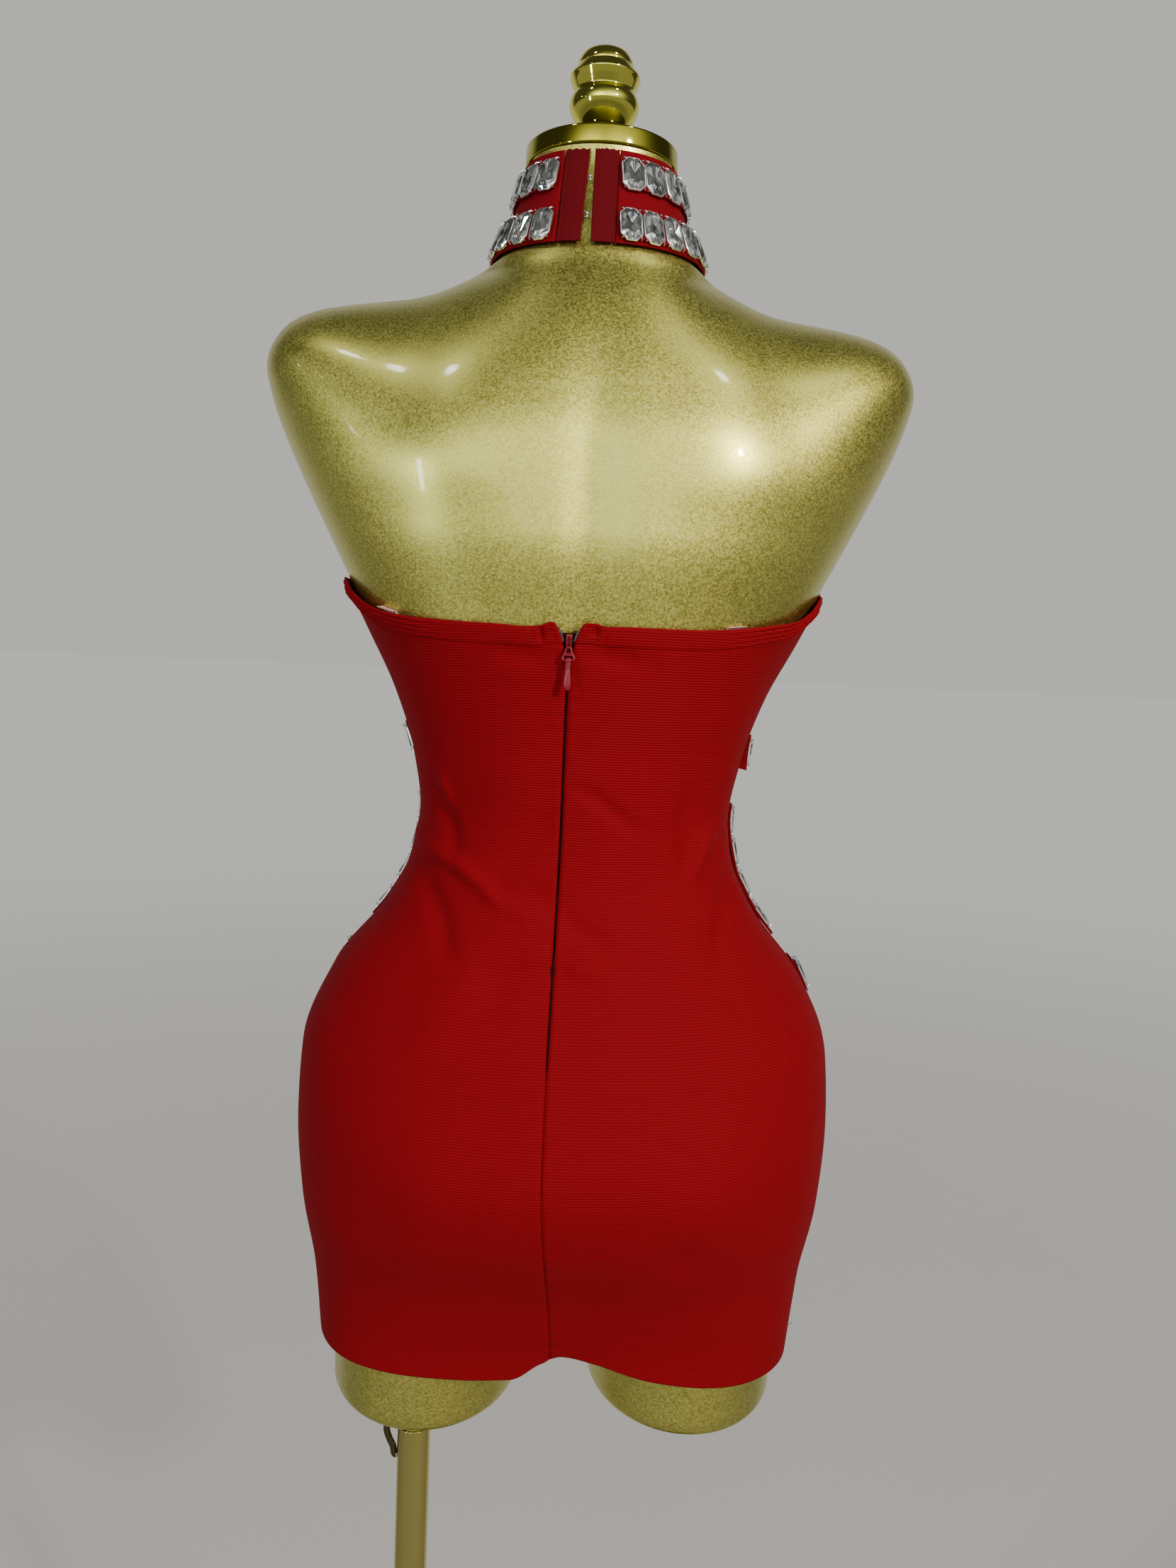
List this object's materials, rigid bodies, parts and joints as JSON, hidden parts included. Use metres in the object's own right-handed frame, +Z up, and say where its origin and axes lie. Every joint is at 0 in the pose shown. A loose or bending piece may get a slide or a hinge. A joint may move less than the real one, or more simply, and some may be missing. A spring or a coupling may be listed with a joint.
{
  "type": "bodycon dress on a limbless dress form",
  "caption": "Halter bodycon mini dress with a high stone-trimmed collar, open back and long back zip, on a limbless dress form with a telescoping pole and round base.",
  "frame": {"origin": "centre of the round base's underside, on the floor", "axes": "+Z up along the pole, +Y out of the back of the dress where the zip is, +X towards the wearer's left"},
  "size_m": [0.42, 0.42, 1.5476],
  "materials": {
    "dress_knit": "matte",
    "stones": "gloss",
    "zip_enamel": "gloss",
    "small_hardware": "polished",
    "clear_elastic": "satin",
    "form_shell": "gloss",
    "plated_gold": "polished",
    "clamp_steel": "satin"
  },
  "bodies": {
    "stand": {"base_plate": "plated_gold", "base_flange": "plated_gold", "stand_tube": "plated_gold"},
    "clamp": {"clamp_screw": "clamp_steel"},
    "rod": {"stand_rod": "plated_gold"},
    "figure": {"form_body": "form_shell", "neck_cap": "plated_gold", "finial": "plated_gold", "front": "dress_knit", "back_left": "dress_knit", "back_right": "dress_knit", "collar": "dress_knit", "collar_end_left": "dress_knit", "collar_end_right": "dress_knit", "collar_stones_upper": "stones", "collar_stones_lower": "stones", "side_trim_left_upper": "stones", "side_trim_left_middle": "stones", "side_trim_left_lower": "stones", "side_trim_right_upper": "stones", "side_trim_right_middle": "stones", "side_trim_right_lower": "stones", "zip_tape": "dress_knit", "zip_slider": "zip_enamel", "hook_upper": "small_hardware", "hook_lower": "small_hardware", "eye_upper": "small_hardware", "eye_lower": "small_hardware", "hanger_tape_left": "clear_elastic", "hanger_tape_right": "clear_elastic"},
    "ring": {"pull_ring": "zip_enamel"},
    "drop": {"pull_drop": "zip_enamel"}
  },
  "joints": [
    {"name": "clamp_turn", "type": "hinge", "parent": "stand", "child": "clamp", "pos_m": [0.1026, -0.01, 0.65], "axis": [1, 0, 0], "range_deg": [0, 170]},
    {"name": "height_slide", "type": "slide", "parent": "stand", "child": "rod", "axis": [0, 0, 1], "range_m": [-0.03, 0.25]},
    {"name": "figure_swivel", "type": "hinge", "parent": "rod", "child": "figure", "pos_m": [0.0915, -0.01, 0.8], "axis": [0, 0, 1], "continuous": true},
    {"name": "ring_swing", "type": "hinge", "parent": "figure", "child": "ring", "pos_m": [0.01005, 0.08627, 1.19678], "axis": [1, 0, 0], "range_deg": [-3, 115]},
    {"name": "drop_swing", "type": "hinge", "parent": "ring", "child": "drop", "pos_m": [0.01005, 0.08627, 1.18998], "axis": [1, 0, 0], "range_deg": [-8, 45]}
  ]
}
